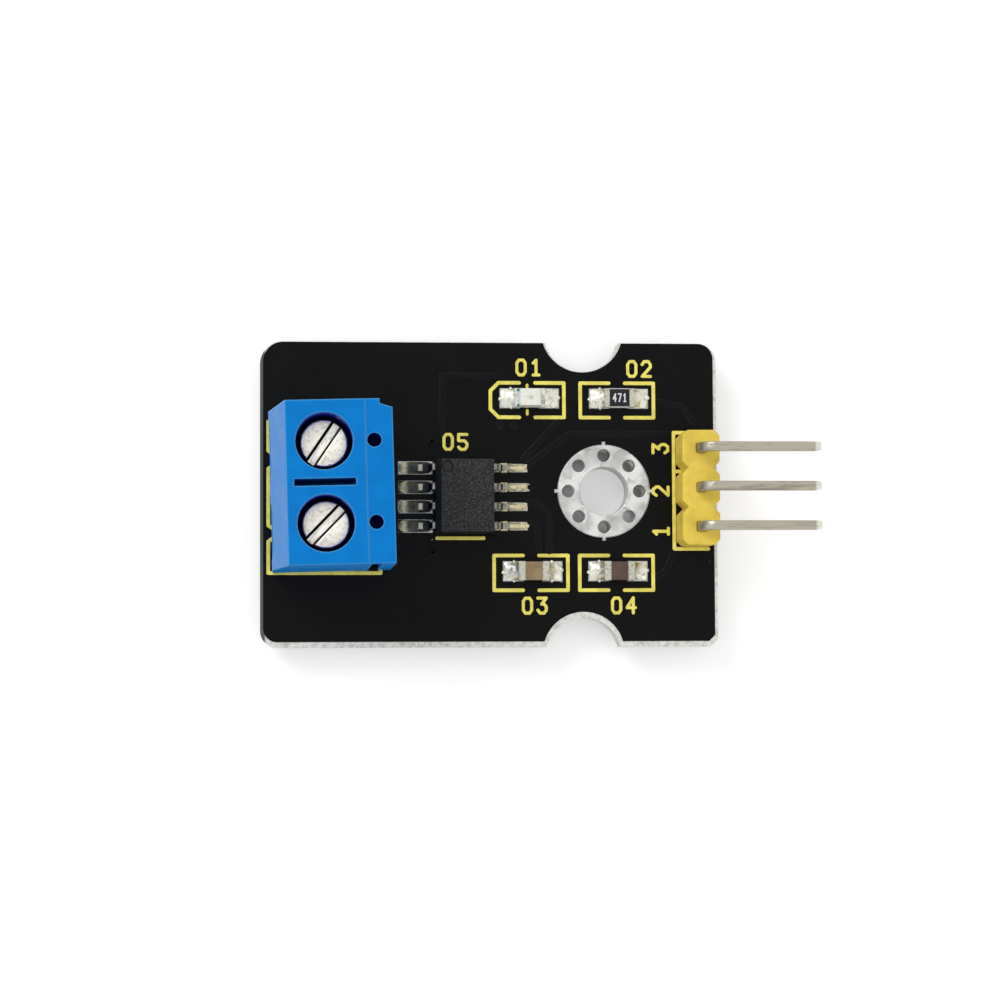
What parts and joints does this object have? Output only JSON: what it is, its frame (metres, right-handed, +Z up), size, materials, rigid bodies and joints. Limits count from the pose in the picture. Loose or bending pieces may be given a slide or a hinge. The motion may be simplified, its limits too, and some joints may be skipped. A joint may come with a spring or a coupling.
{
  "type": "hall effect current sensor",
  "caption": "Black circuit board with a Hall effect sensor chip, a blue screw terminal for the measured current, a mounting hole and right-angle header pins for the signal.",
  "frame": {"origin": "centre of the mounting hole on the underside of the board", "axes": "+X along the board from the screw terminal to the header pins, +Z up from the underside"},
  "size_m": [0.0361, 0.02, 0.0131],
  "materials": {
    "laminate": "glass fibre laminate, sawn edge",
    "solder_mask": "black solder mask, semi-gloss",
    "tinned_copper": "copper with a levelled tin finish",
    "epoxy": "fine-grained moulded epoxy",
    "lead_frame": "copper with matt tin plating",
    "silicon": "polished silicon",
    "solder": "bright solder",
    "lamp_substrate": "white lamp substrate",
    "lamp_resin": "milky clear resin",
    "alumina": "white alumina",
    "black_glass": "black glass coat",
    "tan_ceramic": "tan capacitor ceramic",
    "brown_ceramic": "brown capacitor ceramic",
    "header_plastic": "yellow moulded plastic",
    "pin_metal": "brass wire with tin plating",
    "terminal_plastic": "blue moulded nylon",
    "cage_brass": "tinned brass",
    "screw_steel": "zinc-plated steel",
    "spring_steel": "stainless spring strip"
  },
  "bodies": {
    "root": {"circuit_board": "laminate", "solder_mask_top": "solder_mask", "solder_mask_bottom": "solder_mask", "mounting_ring": "tinned_copper", "chip_pads": "tinned_copper", "component_pads": "tinned_copper", "header_pads": "tinned_copper", "terminal_pads": "tinned_copper", "sensor_body": "epoxy", "current_loop": "lead_frame", "signal_lead_1": "lead_frame", "signal_lead_2": "lead_frame", "signal_lead_3": "lead_frame", "signal_lead_4": "lead_frame", "die_bumps": "solder", "hall_die": "silicon", "led_base": "lamp_substrate", "led_terminals": "tinned_copper", "led_die": "silicon", "led_lens": "lamp_resin", "resistor_base": "alumina", "resistor_ends": "tinned_copper", "resistor_coat": "black_glass", "capacitor_1_body": "brown_ceramic", "capacitor_1_ends": "tinned_copper", "capacitor_2_body": "tan_ceramic", "capacitor_2_ends": "tinned_copper", "header_body": "header_plastic", "header_pin_1": "pin_metal", "header_pin_2": "pin_metal", "header_pin_3": "pin_metal", "terminal_housing": "terminal_plastic", "terminal_cage_1": "cage_brass", "terminal_cage_2": "cage_brass", "component_solder": "solder", "chip_solder": "solder", "header_solder": "solder", "terminal_solder": "solder"},
    "guard_1": {"wire_guard_1": "spring_steel"},
    "screw_1": {"terminal_screw_1": "screw_steel"},
    "guard_2": {"wire_guard_2": "spring_steel"},
    "screw_2": {"terminal_screw_2": "screw_steel"}
  },
  "joints": [
    {"name": "guard_1_travel", "type": "slide", "parent": "root", "child": "guard_1", "axis": [0, 0, -1], "range_m": [0, 0.002]},
    {"name": "screw_1_turn", "type": "hinge", "parent": "guard_1", "child": "screw_1", "pos_m": [-0.01846, 0.00225, 0.01003], "axis": [0, 0, -1], "range_deg": [0, 1600]},
    {"name": "guard_2_travel", "type": "slide", "parent": "root", "child": "guard_2", "axis": [0, 0, -1], "range_m": [0, 0.002]},
    {"name": "screw_2_turn", "type": "hinge", "parent": "guard_2", "child": "screw_2", "pos_m": [-0.01834, -0.00275, 0.01003], "axis": [0, 0, -1], "range_deg": [0, 1600]}
  ],
  "couplings": [
    {"joint": "screw_1_turn", "follows": "guard_1_travel", "rad_per_m": 13963},
    {"joint": "screw_2_turn", "follows": "guard_2_travel", "rad_per_m": 13963}
  ]
}
